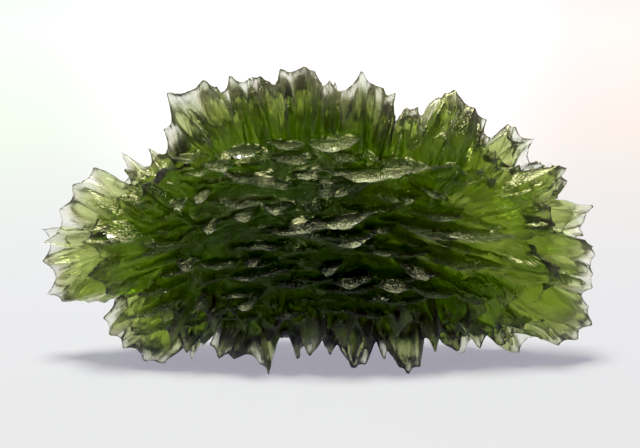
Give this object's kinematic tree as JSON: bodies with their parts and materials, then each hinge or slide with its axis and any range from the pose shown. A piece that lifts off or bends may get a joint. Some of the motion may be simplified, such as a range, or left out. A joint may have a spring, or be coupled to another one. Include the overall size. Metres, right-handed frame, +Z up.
{
  "type": "moldavite",
  "caption": "Free-standing piece of deeply etched green tektite glass: an elongated core with sharp radial fans and stacked ledges on every side.",
  "frame": {"origin": "on the ground plane under the middle of the stone, at the bottom centre of its box", "axes": "+X along the stone's length, to the right seen from the front, -Y out of the front with the finest ledges, +Z up"},
  "size_m": [0.045, 0.0148, 0.0244],
  "materials": {
    "glass": "etched, satin to glossy, sharp edges"
  },
  "bodies": {
    "root": {"moldavite": "glass"}
  },
  "joints": []
}
